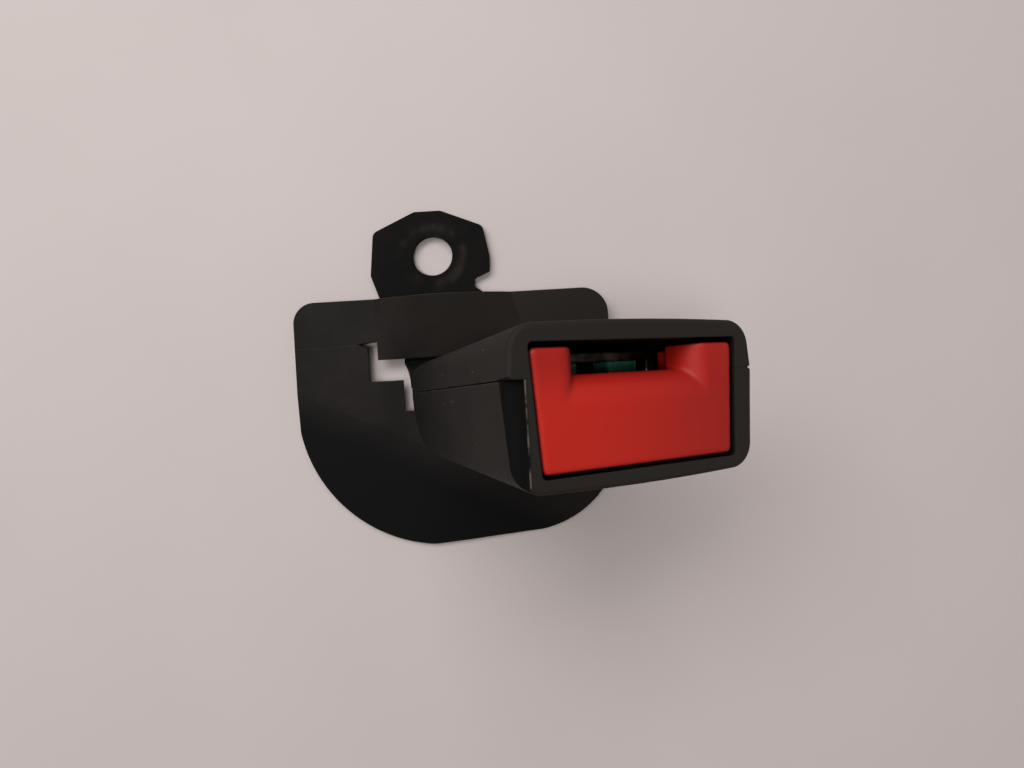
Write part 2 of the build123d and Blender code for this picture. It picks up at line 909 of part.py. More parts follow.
def lower_fittings():
    """Ribs under the frame's flanges and ledges for the button's springs."""
    with BuildPart() as fittings:
        with BuildSketch(across(flange_south)):
            flange_x = frame_in + flange_t / 2
            with Locations(*[(side * flange_x, (rib_start + rib_end) / 2) for side in (-1, 1)]):
                Rectangle(rib_t, rib_end - rib_start)
        extrude(amount=face_w)
        for side in (-1, 1):
            with BuildSketch(Plane.XY.offset(button_spring_seat - ledge_t)):
                with Locations((side * (skirt_in + face_w / 2), button_spring_y + ledge_up - face_w / 2)):
                    Rectangle(face_w, face_w)
            extrude(amount=ledge_t)
        add(housing_core, mode=Mode.INTERSECT)
    return fittings.part


def make_shells(housing, seam):
    rise = seam_face + post_rise
    with BuildPart() as upper:
        add(housing)
        # mouth at the tail, where the strap comes in
        with BuildSketch(Plane.XY.offset(housing_start - 1)):
            with Locations((0, (seam_tail + strap_north) / 2)):
                Rectangle(strap_w + 2 * fit, strap_north + 2 * fit - seam_tail)
        extrude(amount=2 * wall_south, mode=Mode.SUBTRACT)
        add(upper_fittings())
        with BuildSketch(across(0)):
            with Locations(*post_places()):
                Circle(post_d / 2 + post_fit)
        extrude(amount=-rise, mode=Mode.SUBTRACT)
        split(bisect_by=seam, keep=Keep.TOP)
    save(upper, "upper_shell", buckle)

    with BuildPart() as lower:
        add(housing)
        add(lower_fittings())
        split(bisect_by=seam, keep=Keep.BOTTOM)
        with BuildSketch(across(rise - post_fit)):
            with Locations(*post_places()):
                Circle(post_d / 2)
        extrude(until=Until.NEXT, target=lower.part)
        # spigots inside the springs
        with BuildSketch(Plane.XY.offset(button_spring_seat)):
            with Locations((-button_spring_x, button_spring_y), (button_spring_x, button_spring_y)):
                Circle(button_spring_d / 2 - wire_d - spigot_gap)
        extrude(amount=spigot_l)
    save(lower, "lower_shell", buckle)


housing_shape = housing_block(0, 0, 0, housing_start, housing_end, heel_r, tail_north_r, tail_side_r)
housing_core = housing_block(
    wall_side / 2, wall_north / 2, wall_south / 2, housing_start + wall_south / 2, collar_z,
    heel_r - wall_south / 2, tail_north_r - wall_north / 2, tail_side_r - wall_side / 2,
)
seam_angle = (seam_face - seam_tail) / housing_l
seam_plane = Plane(origin=(0, seam_tail, housing_start), x_dir=(1, 0, 0), z_dir=(0, 1, -seam_angle))
make_shells(make_housing(), seam_plane)


# ---- Shield: a shallow cover in two pieces, with a window round the strap ----

def shield_plan(inset):
    """The cover's plan, a square top and a round bottom, drawn in by inset."""
    with BuildSketch() as plan:
        with BuildLine():
            left = Line((shield_left, shield_top), (shield_left, shield_side_end))
            floor_left = (shield_floor_left, shield_bottom + shield_floor_rise)
            floor_right = (shield_floor_right, shield_bottom + shield_floor_right_rise)
            RadiusArc(left @ 1, floor_left, -shield_left_arc_r)
            Line(floor_left, floor_right)
            RadiusArc(floor_right, (shield_right, shield_right_end), -shield_right_arc_r)
            right = Line((shield_right, shield_right_end), (shield_right, shield_top))
            Line(right @ 1, left @ 0)
        make_face()
        fillet(plan.vertices().group_by(Axis.Y)[-1].sort_by(Axis.X)[0], shield_corner_r)
        fillet(plan.vertices().group_by(Axis.Y)[-1].sort_by(Axis.X)[-1], shield_corner_right_r)
        low = [v for v in plan.vertices() if v.Y < shield_bottom + shield_low_r]
        fillet(low, shield_low_r)
        if inset:
            offset(amount=-inset, mode=Mode.REPLACE)
    return plan.sketch


def shield_parting(upper):
    """The plan of the upper or the lower piece, with the seam and the stepped window between them."""
    slit = upper_slit if upper else lower_slit
    inner = window_w / 2 - (window_notch if upper else 0)
    steps = [(tip_out, seam_y + seam_slit), (inner, seam_y + slit)]
    if upper:
        steps += [(inner, window_top)]
        edge = shield_top + shield_h
    else:
        steps += [(inner, window_step), (window_in / 2, window_step), (window_in / 2, window_bottom)]
        edge = shield_bottom - shield_h
    left = [(strap_shift - x, y) for x, y in steps]
    right = [(strap_shift + x, y) for x, y in reversed(steps)]
    ends = [
        (shield_right + shield_h, seam_y),
        (shield_right + shield_h, edge),
        (shield_left - shield_h, edge),
        (shield_left - shield_h, seam_y),
    ]
    with BuildSketch() as region:
        with BuildLine():
            Polyline(*left, *right, *ends, close=True)
        make_face()
    return region.sketch


def window_x(offset):
    return strap_shift + offset


def shield_tray(inset, drop):
    """The cover's form, drawn in and lowered by its wall, with its sloping apron."""
    with BuildPart() as tray:
        extrude(shield_plan(inset), amount=shield_h - drop)
        for side in (-1, 1):
            start = (shield_left if side < 0 else shield_right, crease_y, shield_h - drop)
            split(bisect_by=Plane(origin=start, z_dir=slope_normal(side)), keep=Keep.BOTTOM)
        split(
            bisect_by=Plane(origin=(0, crease_tip_y, shield_h - drop), z_dir=(0, -apron_slope, 1)),
            keep=Keep.BOTTOM,
        )
    return tray.part


def slope_normal(side):
    """The normal of one side of the apron, which falls away from the crease."""
    run = strap_shift - (shield_left if side < 0 else shield_right)
    fall = crease_tip_y - crease_y
    size = sqrt(run * run + fall * fall)
    out_x, out_y = (fall / size, -run / size) if run > 0 else (-fall / size, run / size)
    return (apron_slope * out_x, apron_slope * out_y, 1)


def hump(wall):
    """The arch over the strap, drawn in by its wall, which flattens into the cover at the window."""
    with BuildPart() as arch:
        for y, x, w, h in (
            (shield_top - wall, hump_x, hump_w, hump_h),
            (hump_end, hump_end_x, hump_end_w, shield_h + hump_sink),
        ):
            with BuildSketch(Plane.XZ.offset(-y)):
                with BuildLine():
                    half = w / 2 - wall
                    base = shield_h - hump_sink - wall
                    arc = ThreePointArc((x - half, base), (x, h - wall), (x + half, base))
                    Polyline(arc @ 1, (x + half, base - strap_t / 2), (x - half, base - strap_t / 2), arc @ 0)
                make_face()
        loft(ruled=True)
    return arch.part


def shield_pin_places():
    """The two push pins under the shield, in the lower piece near the seam."""
    return [(strap_shift + side * shield_pin_x, seam_y - shield_pin_back) for side in (-1, 1)]


def make_shields():
    tray = shield_tray(0, 0)
    inside = shield_tray(shield_t, shield_t)
    with BuildPart() as upper:
        add(tray)
        add(hump(0))
        add(inside, mode=Mode.SUBTRACT)
        add(hump(shield_t), mode=Mode.SUBTRACT)
        # gap in the rim for the bracket's tab
        with BuildSketch():
            with Locations((tab_gap_x, shield_top)):
                Rectangle(tab_gap_w, 2 * tab_gap_l)
        extrude(amount=strap_t + fit, mode=Mode.SUBTRACT)
        extrude(shield_parting(upper=True), amount=2 * shield_h, mode=Mode.INTERSECT)
        # lips that carry the lower piece
        for side in (-1, 1):
            reach = (shield_left if side < 0 else shield_right) - side * (shield_t + fit)
            with BuildSketch(Plane.XY.offset(shield_h - shield_t - lip_t)):
                with Locations(((reach + window_x(side * (tip_out + 1))) / 2, seam_y)):
                    Rectangle(abs(reach - window_x(side * (tip_out + 1))), lip_w)
            extrude(amount=lip_t)
        with BuildSketch(Plane.XY.offset(shield_h - shield_t - lip_t)):
            with Locations(*shield_pin_places()):
                Circle(shield_pin_d / 2)
        extrude(amount=lip_t, mode=Mode.SUBTRACT)
        # clips on both edges of the strap
        for side in (-1, 1):
            edge = strap_shift + side * strap_w / 2
            with BuildSketch(Plane.XY.offset(fit)):
                with Locations((edge + side * clip_leg_t / 2, clip_leg_y)):
                    Rectangle(clip_leg_t, clip_leg_l)
            extrude(amount=shield_h - fit - shield_t / 2)
        with BuildSketch(Plane.XY.offset(strap_t)):
            with Locations((strap_shift, clip_leg_y)):
                Rectangle(strap_w, rib_t)
        extrude(amount=shield_h - shield_t / 2 - strap_t)
    save(upper, "shield_upper")

    with BuildPart() as lower:
        add(tray)
        add(inside, mode=Mode.SUBTRACT)
        extrude(shield_parting(upper=False), amount=2 * shield_h, mode=Mode.INTERSECT)
        with BuildSketch(Plane.XY.offset(shield_h - shield_t)):
            with Locations(*shield_pin_places()):
                Circle(shield_pin_d / 2)
        extrude(amount=shield_pin_l, mode=Mode.SUBTRACT)
    save(lower, "shield_lower")

    under = shield_h - shield_t - lip_t
    for name, (x, y) in zip(("left", "right"), shield_pin_places()):
        with BuildPart() as pin:
            with BuildSketch(Plane.XY.offset(under - shield_pin_head_t)):
                with Locations((x, y)):
                    Circle(shield_pin_head_d / 2)
            extrude(amount=shield_pin_head_t)
            with BuildSketch(Plane.XY.offset(under)):
                with Locations((x, y)):
                    Circle(shield_pin_d / 2)
            extrude(amount=lip_t + shield_pin_l)
        save(pin, f"shield_pin_{name}")


make_shields()
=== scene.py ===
import math

import bmesh
import bpy
from mathutils import Euler, Matrix, Vector


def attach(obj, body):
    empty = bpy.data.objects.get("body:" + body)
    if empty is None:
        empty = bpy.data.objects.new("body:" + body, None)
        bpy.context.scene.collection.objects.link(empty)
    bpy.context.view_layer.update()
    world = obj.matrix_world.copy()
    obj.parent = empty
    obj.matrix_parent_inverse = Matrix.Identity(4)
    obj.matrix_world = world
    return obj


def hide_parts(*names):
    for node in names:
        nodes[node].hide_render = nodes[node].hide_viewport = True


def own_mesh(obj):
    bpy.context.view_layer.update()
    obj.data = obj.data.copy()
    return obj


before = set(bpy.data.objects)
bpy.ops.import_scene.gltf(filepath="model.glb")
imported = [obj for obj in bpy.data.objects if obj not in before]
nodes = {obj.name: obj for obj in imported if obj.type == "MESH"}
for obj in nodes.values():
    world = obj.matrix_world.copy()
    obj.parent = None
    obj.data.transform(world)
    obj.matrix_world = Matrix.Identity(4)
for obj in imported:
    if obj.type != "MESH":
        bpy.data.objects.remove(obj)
pieces = dict(nodes)
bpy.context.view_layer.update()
mm = 0.001

# the foot is where the buckle's own axis leaves the strap's bend; the lean is in degrees from upright
buckle = {"foot": (1.5 * mm, -46.1 * mm, 3.0 * mm), "lean": 26.8}
lean = math.radians(buckle["lean"])


def linear(hexColour):
    # sRGB hex to the linear values that the shaders work in
    parts = [int(hexColour[i:i + 2], 16) / 255 for i in (1, 3, 5)]
    flat = [c / 12.92 if c <= 0.04045 else ((c + 0.055) / 1.055) ** 2.4 for c in parts]
    return (*flat, 1.0)


def feed(tree, node, feeds):
    # a socket takes a plain value, an output, or a node, which gives its first live output
    for socket, value in feeds.items():
        if isinstance(value, bpy.types.Node):
            value = next(output for output in value.outputs if output.enabled)
        if isinstance(value, bpy.types.NodeSocket):
            tree.links.new(value, node.inputs[socket])
        else:
            node.inputs[socket].default_value = value


def addNode(tree, kind, settings=None, feeds=None):
    node = tree.nodes.new(kind)
    for key, value in (settings or {}).items():
        setattr(node, key, value)
    feed(tree, node, feeds or {})
    return node


# settings that many nodes share; a mixed colour has its factor on socket 0 and its colours on 6 and 7
mixedColour = {"data_type": "RGBA"}
softStep = {"interpolation_type": "SMOOTHSTEP"}
product = {"operation": "MULTIPLY"}
nearby = {"samples": 6}


def between(span):
    # a mask's ramp runs from 0 at the span's first end to 1 at its second, which may be the lower
    return {"From Min": span[0], "From Max": span[1]}


def newMaterial(name, values):
    # a material with its plain numbers set on the shader's own sockets
    material = bpy.data.materials.new(name)
    material.use_nodes = True
    tree = material.node_tree
    shader = tree.nodes["Principled BSDF"]
    for socket in ("Metallic", "Roughness", "IOR", "Specular IOR Level"):
        if socket in values:
            shader.inputs[socket].default_value = values[socket]
    return material, tree, shader


corners = {"samples": 6, "agreement": (0.985, 0.80)}


def edgeMask(tree, width):
    # finds corners: where the normal, rounded over a few tenths of a millimetre, leaves the face's own
    rounded = addNode(tree, "ShaderNodeBevel", {"samples": corners["samples"]}, {"Radius": width})
    surface = addNode(tree, "ShaderNodeNewGeometry")
    agree = addNode(tree, "ShaderNodeVectorMath", {"operation": "DOT_PRODUCT"},
                    {0: rounded, 1: surface.outputs["Normal"]})
    corner = addNode(tree, "ShaderNodeMapRange", softStep,
                     {"Value": agree, **between(corners["agreement"])})
    return rounded, corner


def buckleCoords(tree, coords):
    # the buckle's own axes: x across it, y towards the slot, z along it from the foot at the bend
    x, y, z = buckle["foot"]
    shift = (z * math.sin(lean) - x * math.cos(lean), -y, -x * math.sin(lean) - z * math.cos(lean))
    turned = addNode(tree, "ShaderNodeMapping", {"vector_type": "POINT"},
                     {"Vector": coords, "Rotation": (0, -lean, 0), "Location": shift})
    return addNode(tree, "ShaderNodeSeparateXYZ", None, {0: turned}).outputs


def lineDistance(tree, axes, x, z):
    # how far a point lies from the line at x, z that runs along the buckle's y axis
    flat = addNode(tree, "ShaderNodeCombineXYZ", None, {"X": axes["X"], "Z": axes["Z"]})
    return addNode(tree, "ShaderNodeVectorMath", {"operation": "DISTANCE"}, {0: flat, 1: (x, 0, z)})


speckCore = 0.4  # the share of a speck's radius that hides what lies under it


def dustSpecks(tree, coords, dust):
    # loose specks: one to a cell, and only in a share of the cells
    spacing, size = dust["spacing"], dust["size"]
    cells = addNode(tree, "ShaderNodeTexVoronoi", {"feature": "F1"},
                    {"Vector": coords, "Scale": 1 / spacing})
    spot = addNode(tree, "ShaderNodeMapRange", softStep,
                   {"Value": cells, **between((size / spacing, speckCore * size / spacing))})
    split = addNode(tree, "ShaderNodeSeparateColor", None, {0: cells.outputs["Color"]})
    chosen = addNode(tree, "ShaderNodeMath", {"operation": "GREATER_THAN"},
                     {0: split, 1: 1 - dust["share"]})
    return addNode(tree, "ShaderNodeMath", product, {0: spot, 1: chosen})


# polyamide, spark-eroded tool: a fine even grain that scatters the light and holds pale dust; the
# grain here and on the shield and the button is coarser than a real tool's, or it wouldn't show
shellPlastic = {
    # painted shade: the clean tone also stands for shaded parts and the dusty tone for lit ones; the fade
    # darkens the shells towards the tail and the lower shell
    "clean": "#121010", "dusty": "#272320", "worn": "#4a4540",
    # the worn tone pales the corners, partly wear and partly a painted highlight
    "grain": 0.45 * mm, "grainDepth": 0.035 * mm, "edge": 0.5 * mm, "film": 22 * mm,
    "dustAlong": (0.451, 0.9, 0.893), "dustReach": (2 * mm, 40 * mm),
    # painted shade: darker where the surface is less open to the room
    "grime": 12 * mm, "grimy": "#090808",
    "specks": {"spacing": 2.6 * mm, "size": 0.16 * mm, "share": 0.32, "colour": "#a39d95"},
    "lip": {
        # painted shade in the lower lip's cove, a pale lip edge that is partly chips and partly a painted
        # highlight, and a paler end face
        "centre": (-27.4 * mm, 98.3 * mm), "radius": 3.7 * mm, "coveEdge": 0.5 * mm,
        "top": (5.3 * mm, 5.0 * mm), "grime": "#0b0a0a",
        "chip": 2.6 * mm, "chipWidth": 0.32 * mm, "chipCore": 0.2, "chipped": (0.38, 0.62),
        "bare": "#5c5650",
        "rimReach": (97.4 * mm, 98.2 * mm), "rim": "#2b2825",
    },
    "shader": {"Roughness": 0.58, "IOR": 1.53, "Specular IOR Level": 0.07},
}

# talc-filled polypropylene, smoother tool: softer and duller than the shells
shieldPlastic = {
    # painted shade: the clean tone also stands for shaded parts and the dusty tone for lit ones; the fade
    # darkens the shield towards its lower apron
    "clean": "#0c0b0c", "dusty": "#221e1c", "worn": "#383431",
    # the worn tone pales the corners, partly wear and partly a painted highlight
    "grain": 0.7 * mm, "grainDepth": 0.025 * mm, "edge": 0.5 * mm, "film": 34 * mm,
    "dustAlong": (0.447, 0.894, 0), "dustReach": (-66 * mm, -52 * mm),
    # painted shade: darker where the surface is less open to the room
    "grime": 12 * mm, "grimy": "#060606",
    "specks": {"spacing": 6.0 * mm, "size": 0.18 * mm, "share": 0.12, "colour": "#6f6963"},
    "shader": {"Roughness": 0.6, "IOR": 1.49, "Specular IOR Level": 0.15},
}

# what both plastics share: how dust settles, how corners wear and take a painted highlight, how far
# recesses take painted shade and how the gloss varies
handling = {
    "facingUp": (-0.2, 0.4), "patches": (0.2, 0.62), "scuff": 3 * mm, "scuffed": (0.35, 0.62),
    "shut": (0.75, 0.15), "gloss": (0.3, 0.7), "polished": -0.06, "dulled": 0.1,
}


def lipShadeAndWear(tree, coords, lip, base):
    # the rim's end face is painted paler, painted shade darkens the lower lip's cove, and its thin edge is
    # pale in broken stretches, partly chips and partly a painted highlight
    axes = buckleCoords(tree, coords)
    rim = addNode(tree, "ShaderNodeMapRange", softStep,
                  {"Value": axes["Z"], **between(lip["rimReach"])})
    base = addNode(tree, "ShaderNodeMix", mixedColour, {0: rim, 6: base, 7: linear(lip["rim"])})
    lower = addNode(tree, "ShaderNodeMapRange", softStep, {"Value": axes["Y"], **between(lip["top"])})
    x, z = lip["centre"]
    inCove = addNode(tree, "ShaderNodeMapRange", softStep, {
        "Value": lineDistance(tree, axes, x, z),
        **between((lip["radius"] + lip["coveEdge"], lip["radius"])),
    })
    shadedPart = addNode(tree, "ShaderNodeMath", product, {0: inCove, 1: lower})
    base = addNode(tree, "ShaderNodeMix", mixedColour, {0: shadedPart, 6: base, 7: linear(lip["grime"])})
    onEdge = addNode(tree, "ShaderNodeMapRange", softStep, {
        "Value": lineDistance(tree, axes, x + lip["radius"], z),
        **between((lip["chipWidth"], lip["chipCore"] * lip["chipWidth"])),
    })
    chips = addNode(tree, "ShaderNodeTexNoise", None,
                    {"Vector": coords, "Scale": 1 / lip["chip"], "Detail": 6.0})
    broken = addNode(tree, "ShaderNodeMapRange", softStep, {"Value": chips, **between(lip["chipped"])})
    thin = addNode(tree, "ShaderNodeMath", product, {0: onEdge, 1: lower})
    chipped = addNode(tree, "ShaderNodeMath", product, {0: thin, 1: broken})
    return addNode(tree, "ShaderNodeMix", mixedColour, {0: chipped, 6: base, 7: linear(lip["bare"])})


def grainedPlastic(name, look):
    material, tree, shader = newMaterial(name, look["shader"])
    coords = addNode(tree, "ShaderNodeTexCoord").outputs["Object"]
    rounded, corner = edgeMask(tree, look["edge"])
    # dust lies in broad uneven patches on what doesn't face down, and fades out along a set direction,
    # which paints shade at the far end of it
    film = addNode(tree, "ShaderNodeTexNoise", None,
                   {"Vector": coords, "Scale": 1 / look["film"], "Detail": 5.0, "Roughness": 0.6})
    surface = addNode(tree, "ShaderNodeNewGeometry")
    facing = addNode(tree, "ShaderNodeSeparateXYZ", None, {0: surface.outputs["Normal"]})
    upward = addNode(tree, "ShaderNodeMapRange", softStep,
                     {"Value": facing.outputs["Z"], **between(handling["facingUp"])})
    reach = addNode(tree, "ShaderNodeVectorMath", {"operation": "DOT_PRODUCT"},
                    {0: coords, 1: look["dustAlong"]})
    unshaded = addNode(tree, "ShaderNodeMapRange", softStep,
                      {"Value": reach, **between(look["dustReach"])})
    patches = addNode(tree, "ShaderNodeMapRange", softStep,
                      {"Value": film, **between(handling["patches"])})
    upwardAndLit = addNode(tree, "ShaderNodeMath", product, {0: upward, 1: unshaded})
    dustAndLight = addNode(tree, "ShaderNodeMath", product, {0: upwardAndLit, 1: patches})
    base = addNode(tree, "ShaderNodeMix", mixedColour,
                   {0: dustAndLight, 6: linear(look["clean"]), 7: linear(look["dusty"])})
    # the corners are paler in broken stretches, partly handling wear and partly a painted highlight
    scuff = addNode(tree, "ShaderNodeTexNoise", None,
                    {"Vector": coords, "Scale": 1 / handling["scuff"], "Detail": 4.0})
    broken = addNode(tree, "ShaderNodeMapRange", softStep,
                     {"Value": scuff, **between(handling["scuffed"])})
    rubbed = addNode(tree, "ShaderNodeMath", product, {0: corner, 1: broken})
    base = addNode(tree, "ShaderNodeMix", mixedColour, {0: rubbed, 6: base, 7: linear(look["worn"])})
    specks = dustSpecks(tree, coords, look["specks"])
    base = addNode(tree, "ShaderNodeMix", mixedColour,
                   {0: specks, 6: base, 7: linear(look["specks"]["colour"])})
    if "lip" in look:
        base = lipShadeAndWear(tree, coords, look["lip"], base)
    # and painted shade darkens where pieces meet, where the surface is less open to the room
    room = addNode(tree, "ShaderNodeAmbientOcclusion", nearby, {"Distance": look["grime"]})
    shut = addNode(tree, "ShaderNodeMapRange", softStep,
                   {"Value": room.outputs["AO"], **between(handling["shut"])})
    base = addNode(tree, "ShaderNodeMix", mixedColour, {0: shut, 6: base, 7: linear(look["grimy"])})
    # the tool's grain, in the depth that the real one has
    grain = addNode(tree, "ShaderNodeTexNoise", None,
                    {"Vector": coords, "Scale": 1 / look["grain"], "Detail": 3.0, "Roughness": 0.55})
    bump = addNode(tree, "ShaderNodeBump", None, {
        "Strength": 1.0, "Distance": look["grainDepth"], "Height": grain, "Normal": rounded,
    })
    # gloss varies with the dust: dusty patches are duller
    gloss = addNode(tree, "ShaderNodeMapRange", None, {
        "Value": film, **between(handling["gloss"]),
        "To Min": look["shader"]["Roughness"] + handling["polished"],
        "To Max": look["shader"]["Roughness"] + handling["dulled"],
    })
    feed(tree, shader, {"Base Color": base, "Normal": bump, "Roughness": gloss})
    return material


# ABS, satin tool: strong red with a soft, slightly uneven sheen
buttonPlastic = {
    # the worn tone pales the corners, partly wear and partly a painted highlight
    "colour": "#c1261b", "worn": "#d24c3b", "wornShare": 0.6, "edge": 0.4 * mm,
    # painted shade across the button, darker towards the side away from the bracket
    "thumb": "#a21f19", "thumbReach": (-16 * mm, 26 * mm), "uneven": 0.01,
    # painted shade: darker towards the slot, under the rim, and in the scoop's recesses
    "soil": "#a81f18", "soilReach": (0, 9 * mm),
    "grime": 4 * mm, "grimy": "#4a110d", "shut": (0.7, 0.2),
    "specks": {"spacing": 4 * mm, "size": 0.12 * mm, "share": 0.25, "colour": "#d8a9a0"},
    "grain": 0.35 * mm, "grainDepth": 0.012 * mm, "film": 16 * mm,
    "gloss": (0.3, 0.7), "polished": -0.05, "dulled": 0.06,
    "shader": {"Roughness": 0.46, "IOR": 1.53, "Specular IOR Level": 0.3},
}


def satinRed(name, look):
    material, tree, shader = newMaterial(name, look["shader"])
    coords = addNode(tree, "ShaderNodeTexCoord").outputs["Object"]
    rounded, corner = edgeMask(tree, look["edge"])
    clouds = addNode(tree, "ShaderNodeTexNoise", None,
                     {"Vector": coords, "Scale": 1 / look["film"], "Detail": 4.0, "Roughness": 0.55})
    # painted shade: the button darkens across it towards the side away from the bracket, with a slightly
    # uneven edge
    axes = buckleCoords(tree, coords)
    uneven = addNode(tree, "ShaderNodeMapRange", None,
                     {"Value": clouds, "To Min": -look["uneven"], "To Max": look["uneven"]})
    across = addNode(tree, "ShaderNodeMath", {"operation": "ADD"}, {0: axes["X"], 1: uneven})
    farSideShaded = addNode(tree, "ShaderNodeMapRange", softStep,
                      {"Value": across, **between(look["thumbReach"])})
    base = addNode(tree, "ShaderNodeMix", mixedColour,
                   {0: farSideShaded, 6: linear(look["colour"]), 7: linear(look["thumb"])})
    # painted shade: the slot's side of it is darker, and so are the scoop's corners, where the surface is
    # less open to the room
    shadedPart = addNode(tree, "ShaderNodeMapRange", softStep,
                     {"Value": axes["Y"], **between(look["soilReach"])})
    base = addNode(tree, "ShaderNodeMix", mixedColour, {0: shadedPart, 6: base, 7: linear(look["soil"])})
    room = addNode(tree, "ShaderNodeAmbientOcclusion", nearby, {"Distance": look["grime"]})
    shut = addNode(tree, "ShaderNodeMapRange", softStep,
                   {"Value": room.outputs["AO"], **between(look["shut"])})
    base = addNode(tree, "ShaderNodeMix", mixedColour, {0: shut, 6: base, 7: linear(look["grimy"])})
    # the corners are paler, partly wear and partly a painted highlight
    rubbed = addNode(tree, "ShaderNodeMath", product, {0: corner, 1: look["wornShare"]})
    base = addNode(tree, "ShaderNodeMix", mixedColour, {0: rubbed, 6: base, 7: linear(look["worn"])})
    specks = dustSpecks(tree, coords, look["specks"])
    base = addNode(tree, "ShaderNodeMix", mixedColour,
                   {0: specks, 6: base, 7: linear(look["specks"]["colour"])})
    grain = addNode(tree, "ShaderNodeTexNoise", None,
                    {"Vector": coords, "Scale": 1 / look["grain"], "Detail": 3.0})
    bump = addNode(tree, "ShaderNodeBump", None, {
        "Strength": 1.0, "Distance": look["grainDepth"], "Height": grain, "Normal": rounded,
    })
    polish = addNode(tree, "ShaderNodeMapRange", None, {
        "Value": clouds, **between(look["gloss"]),
        "To Min": look["shader"]["Roughness"] + look["polished"],
        "To Max": look["shader"]["Roughness"] + look["dulled"],
    })
    feed(tree, shader, {"Base Color": base, "Normal": bump, "Roughness": polish})
    return material


# acetal, plain tool: dark green, slightly waxy, with faint flow lines along the moulding
ejectorPlastic = {
    "colour": "#24604f", "flow": "#2f7562", "line": 2.2 * mm, "flowing": (0.35, 0.65), "edge": 0.3 * mm,
    "shader": {"Roughness": 0.36, "IOR": 1.48, "Specular IOR Level": 0.4},
}


def waxyGreen(name, look):
    material, tree, shader = newMaterial(name, look["shader"])
    coords = addNode(tree, "ShaderNodeTexCoord").outputs["Object"]
    rounded = addNode(tree, "ShaderNodeBevel", {"samples": corners["samples"]}, {"Radius": look["edge"]})
    flow = addNode(tree, "ShaderNodeTexNoise", None,
                   {"Vector": coords, "Scale": 1 / look["line"], "Detail": 3.0, "Distortion": 1.2})
    streaks = addNode(tree, "ShaderNodeMapRange", softStep, {"Value": flow, **between(look["flowing"])})
    base = addNode(tree, "ShaderNodeMix", mixedColour,
                   {0: streaks, 6: linear(look["colour"]), 7: linear(look["flow"])})
    feed(tree, shader, {"Base Color": base, "Normal": rounded})
    return material


# cathodic dip paint on pressed steel: thin satin black, rubbed through round the bolt hole
dipPaint = {
    "colour": "#0a0b0b", "thin": "#100f0e", "thinned": (0.38, 0.66), "cloud": 9 * mm,
    "rub": "#2c2621", "rubs": 6 * mm, "rubbed": (0.42, 0.8), "seat": 9.2 * mm, "seatWidth": 2.6 * mm,
    "chip": "#4a443e", "edge": 0.45 * mm, "orangePeel": 1.1 * mm, "peelDepth": 0.02 * mm,
    "shader": {"Roughness": 0.6, "IOR": 1.5, "Specular IOR Level": 0.07},
}


def paintedSteel(name, look):
    material, tree, shader = newMaterial(name, look["shader"])
    coords = addNode(tree, "ShaderNodeTexCoord").outputs["Object"]
    rounded, corner = edgeMask(tree, look["edge"])
    clouds = addNode(tree, "ShaderNodeTexNoise", None,
                     {"Vector": coords, "Scale": 1 / look["cloud"], "Detail": 6.0, "Roughness": 0.65})
    thinned = addNode(tree, "ShaderNodeMapRange", softStep, {"Value": clouds, **between(look["thinned"])})
    base = addNode(tree, "ShaderNodeMix", mixedColour,
                   {0: thinned, 6: linear(look["colour"]), 7: linear(look["thin"])})
    # the bolt's washer has marked a ring round the hole, which is the frame's origin
    flat = addNode(tree, "ShaderNodeVectorMath", product, {0: coords, 1: (1, 1, 0)})
    radius = addNode(tree, "ShaderNodeVectorMath", {"operation": "LENGTH"}, {0: flat})
    off = addNode(tree, "ShaderNodeMath", {"operation": "SUBTRACT"}, {0: radius, 1: look["seat"]})
    away = addNode(tree, "ShaderNodeMath", {"operation": "ABSOLUTE"}, {0: off})
    ring = addNode(tree, "ShaderNodeMapRange", softStep,
                   {"Value": away, **between((look["seatWidth"], 0.0))})
    rubs = addNode(tree, "ShaderNodeTexNoise", None,
                   {"Vector": coords, "Scale": 1 / look["rubs"], "Detail": 3.0})
    patchy = addNode(tree, "ShaderNodeMapRange", softStep, {"Value": rubs, **between(look["rubbed"])})
    marked = addNode(tree, "ShaderNodeMath", product, {0: ring, 1: patchy})
    base = addNode(tree, "ShaderNodeMix", mixedColour, {0: marked, 6: base, 7: linear(look["rub"])})
    chipped = addNode(tree, "ShaderNodeMath", product, {0: corner, 1: patchy})
    base = addNode(tree, "ShaderNodeMix", mixedColour, {0: chipped, 6: base, 7: linear(look["chip"])})
    peel = addNode(tree, "ShaderNodeTexNoise", None,
                   {"Vector": coords, "Scale": 1 / look["orangePeel"], "Detail": 2.0})
    bump = addNode(tree, "ShaderNodeBump", None, {
        "Strength": 1.0, "Distance": look["peelDepth"], "Height": peel, "Normal": rounded,
    })
    feed(tree, shader, {"Base Color": base, "Normal": bump})
    return material


# zinc plate on stamped steel: a grey, slightly warm metal with soft cloudy gloss
zincPlate = {
    # the bright edge tone is a painted glint
    "colour": "#6f6b63", "dull": "#403d38", "bright": "#f2ede2", "cloud": 4 * mm, "edge": 0.55 * mm,
    "shader": {"Metallic": 1.0, "Roughness": 0.42},
}

# hard-drawn spring wire: darker than plate, with a closer clouding and a brighter gloss
springWire = {
    # the bright edge tone is a painted glint
    "colour": "#6f6c69", "dull": "#3e3b39", "bright": "#8a8784", "cloud": 1.5 * mm, "edge": 0.1 * mm,
    "shader": {"Metallic": 1.0, "Roughness": 0.32},
}

# what both metals share
metalWear = {
    "clouded": (0.35, 0.65), "rubbed": (0.42, 0.55), "gloss": (0.3, 0.7), "dulled": 0.12, "polished": -0.08,
}


